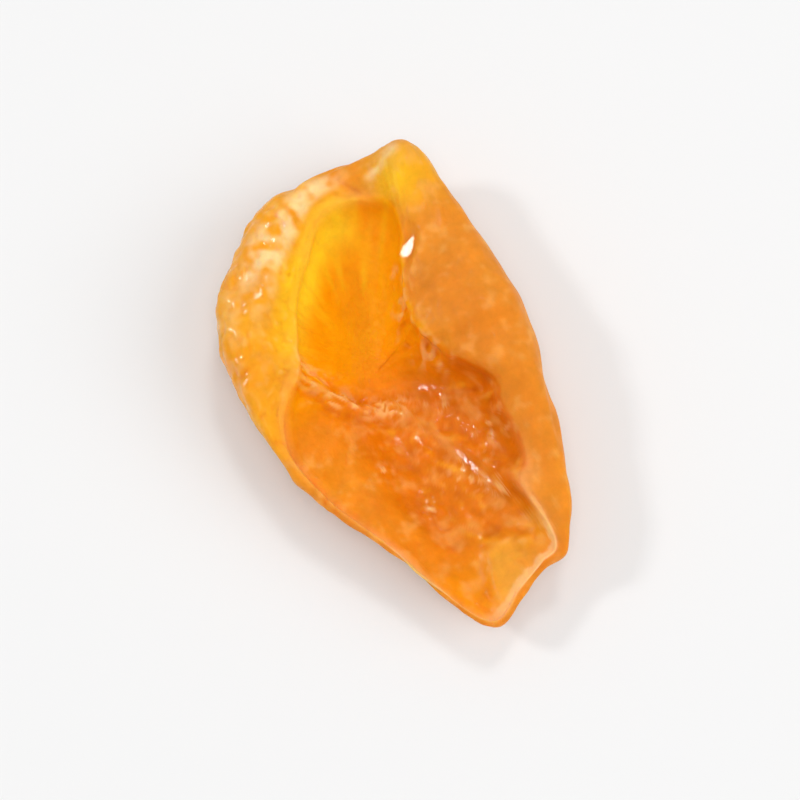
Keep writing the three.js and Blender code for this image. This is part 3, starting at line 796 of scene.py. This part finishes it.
def paint(half, points, faces, turn, share):
    """Keeps for the material each point's colour, how far it is skin, how wet it is, and its grain's run."""
    at = Places(*points.T, turn, share)
    skin = inside(SKIN_COLOUR_ZONE, at)
    colour = with_edges(mix(flesh_colour(at), skin_colour(at), skin[:, None]), at)
    colour = with_shade(colour, at, bend_of(points, faces))
    keep(half, "tint", "FLOAT_COLOR", "color", np.column_stack([colour, np.ones(len(at.x))]))
    keep(half, "skin", "FLOAT", "value", skin)
    keep(half, "wet", "FLOAT", "value", wetness(at, skin))
    keep(half, "skin_grain", "FLOAT_VECTOR", "vector", skin_grain(at))
    keep(half, "flesh_grain", "FLOAT_VECTOR", "vector", flesh_grain(at))


class Nodes:
    """Adds nodes to a material and links them by socket name."""

    def __init__(self, material):
        material.use_nodes = True
        self.tree = material.node_tree
        self.shader = self.tree.nodes["Principled BSDF"]

    def add(self, kind, values, **settings):
        node = self.tree.nodes.new(kind)
        for name, value in settings.items():
            setattr(node, name, value)
        for name, value in values.items():
            self.put(node, name, value)
        return node

    def put(self, node, name, value):
        """Links a socket into an input of a node, or sets the input to a value."""
        if isinstance(value, bpy.types.NodeSocket):
            self.tree.links.new(value, node.inputs[name])
        else:
            node.inputs[name].default_value = value

    def finish(self, **values):
        """Sets inputs of the shader, named with underscores for their spaces."""
        for name, value in values.items():
            self.put(self.shader, name.replace("_", " "), value)

    def noise(self, place, scale, detail, roughness):
        values = {"Vector": place, "Scale": scale, "Detail": detail, "Roughness": roughness}
        return self.add("ShaderNodeTexNoise", values).outputs["Fac"]

    def kept(self, name, output):
        """What the mesh keeps under a name, as a socket."""
        return self.add("ShaderNodeAttribute", {}, attribute_name=name).outputs[output]


def mottled_tint(nodes, place):
    """The painted colour, a little lighter and darker in small mottles."""
    mottle = nodes.noise(place, scale=600.0, detail=5.0, roughness=0.65)
    shade = nodes.add("ShaderNodeMapRange", {
        "Value": mottle, "From Min": 0.3, "From Max": 0.7, "To Min": 0.9, "To Max": 1.08,
    })
    values = {0: nodes.kept("tint", "Color"), "Scale": shade.outputs["Result"]}
    return nodes.add("ShaderNodeVectorMath", values, operation="SCALE").outputs["Vector"]


def grain_and_pores(nodes, place):
    """The surface's direction, bent by the finest grain of flesh and skin and by pores."""
    flesh = nodes.noise(nodes.kept("flesh_grain", "Vector"), scale=1.0, detail=2.0, roughness=0.5)
    skin = nodes.noise(nodes.kept("skin_grain", "Vector"), scale=1.0, detail=2.0, roughness=0.5)
    grain = nodes.add("ShaderNodeMix", {"Factor": nodes.kept("skin", "Fac"), "A": flesh, "B": skin})
    bent = nodes.add("ShaderNodeBump", {
        "Height": grain.outputs["Result"], "Strength": 1.0, "Distance": 0.00017,
    })
    pores = nodes.noise(place, scale=2000.0, detail=2.0, roughness=0.5)
    return nodes.add("ShaderNodeBump", {
        "Height": pores, "Strength": 1.0, "Distance": 0.00004, "Normal": bent.outputs["Normal"],
    }).outputs["Normal"]


def flesh_material():
    """Flesh that light sinks into, under a gloss where it is wet."""
    material = bpy.data.materials.new("dried_flesh")
    nodes = Nodes(material)
    place = nodes.add("ShaderNodeTexCoord", {}).outputs["Object"]
    nodes.finish(
        Base_Color=mottled_tint(nodes, place), Roughness=0.5, Specular_IOR_Level=0.2,
        Coat_Weight=nodes.kept("wet", "Fac"), Coat_Roughness=0.06, Coat_IOR=1.5,
        Subsurface_Weight=0.75, Subsurface_Radius=(0.9, 0.5, 0.15), Subsurface_Scale=0.0012,
        Normal=grain_and_pores(nodes, place),
    )
    return material


def add_mesh(name, points, faces):
    mesh = bpy.data.meshes.new(name)
    mesh.from_pydata(points.tolist(), [], faces.tolist())
    mesh.shade_smooth()
    obj = bpy.data.objects.new(name, mesh)
    bpy.context.scene.collection.objects.link(obj)
    return obj


def formed():
    """The half's points and faces, with each point's angle and its share of the way along its section."""
    toward, faces = faceted_ball(BALL_FACETS)
    turn = np.arctan2(toward[:, 1] * END_SPREAD, toward[:, 0])
    share = np.arccos(np.clip(-toward[:, 2], -1, 1)) / math.pi
    out, up = along_section(section(rim_at(np.degrees(turn))), share).T
    points = np.stack([out * np.cos(turn), out * np.sin(turn), up], 1)
    points[:, :2] -= np.array(MIDDLE)
    points = relieved(points, faces, turn, share)
    points[:, :2] -= ((points.min(0) + points.max(0)) / 2)[:2]
    return points, faces, turn, share


def build_half():
    points, faces, turn, share = formed()
    half = add_mesh("apricot", points * MM, faces)
    paint(half, points, faces, turn, share)
    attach(half, "root")
    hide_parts(NODE)
    half.data.materials.append(flesh_material())


# Stage: camera, floor and light. Angles are in degrees, and lengths in metres but for the lens and sensor
CAMERA_AZIMUTH = -23.0
CAMERA_ELEVATION = 75.0
FRAME_SHARE = 0.62
LENS_MM = 100.0
SENSOR_MM = 36.0
CLIP_NEAR, CLIP_FAR = 0.01, 10
FLOOR_HALF_SIDE = 3.0
WORLD_STRENGTH = 0.43


def place_camera():
    """Looks at the middle of the half, from where its length takes up its share of the picture."""
    low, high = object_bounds()
    azimuth, elevation = math.radians(CAMERA_AZIMUTH), math.radians(CAMERA_ELEVATION)
    back = Vector((
        math.sin(azimuth) * math.cos(elevation),
        -math.cos(azimuth) * math.cos(elevation),
        math.sin(elevation),
    ))
    data = bpy.data.cameras.new("camera")
    data.lens = LENS_MM
    data.sensor_width = SENSOR_MM
    data.clip_start = CLIP_NEAR
    data.clip_end = CLIP_FAR
    camera = bpy.data.objects.new("camera", data)
    bpy.context.scene.collection.objects.link(camera)
    distance = (high.y - low.y) / FRAME_SHARE * LENS_MM / SENSOR_MM
    camera.location = (low + high) / 2 + back * distance
    camera.rotation_euler = (-back).to_track_quat("-Z", "Y").to_euler()
    bpy.context.scene.camera = camera


def add_floor():
    material = bpy.data.materials.new("floor")
    material.use_nodes = True
    shader = material.node_tree.nodes["Principled BSDF"]
    shader.inputs["Base Color"].default_value = (0.85, 0.85, 0.85, 1)
    shader.inputs["Roughness"].default_value = 0.6
    side = FLOOR_HALF_SIDE
    corners = np.array([[-side, -side, 0], [side, -side, 0], [side, side, 0], [-side, side, 0]])
    floor = add_mesh("floor", corners, np.array([[0, 1, 2, 3]]))
    floor.data.materials.append(material)


def add_light(name, place, size, power, mirrored=True):
    """A square soft light turned to the half, which shows in wet places only if it is mirrored."""
    data = bpy.data.lights.new(name, "AREA")
    data.size = size
    data.energy = power
    light = bpy.data.objects.new(name, data)
    bpy.context.scene.collection.objects.link(light)
    light.location = place
    light.rotation_euler = (-Vector(place)).to_track_quat("-Z", "Y").to_euler()
    light.visible_glossy = mirrored


def set_world():
    """A white surround that lights the half evenly and does not show in its wet places."""
    world = bpy.data.worlds.new("studio")
    world.use_nodes = True
    background = world.node_tree.nodes["Background"]
    background.inputs["Color"].default_value = (1, 1, 1, 1)
    background.inputs["Strength"].default_value = WORLD_STRENGTH
    bpy.context.scene.world = world
    world.cycles_visibility.glossy = False
    bpy.context.scene.view_settings.view_transform = "Standard"


build_half()
place_camera()
add_floor()
add_light("key", place=(-0.44, 0.3, 0.5), size=0.1, power=1.05)
add_light("top", place=(0.2, 0.28, 0.6), size=0.12, power=0.6)
add_light("front", place=(-0.06, -0.16, 0.72), size=0.3, power=1.4, mirrored=False)
add_light("fill", place=(0.5, -0.33, 0.52), size=0.6, power=2.4, mirrored=False)
set_world()
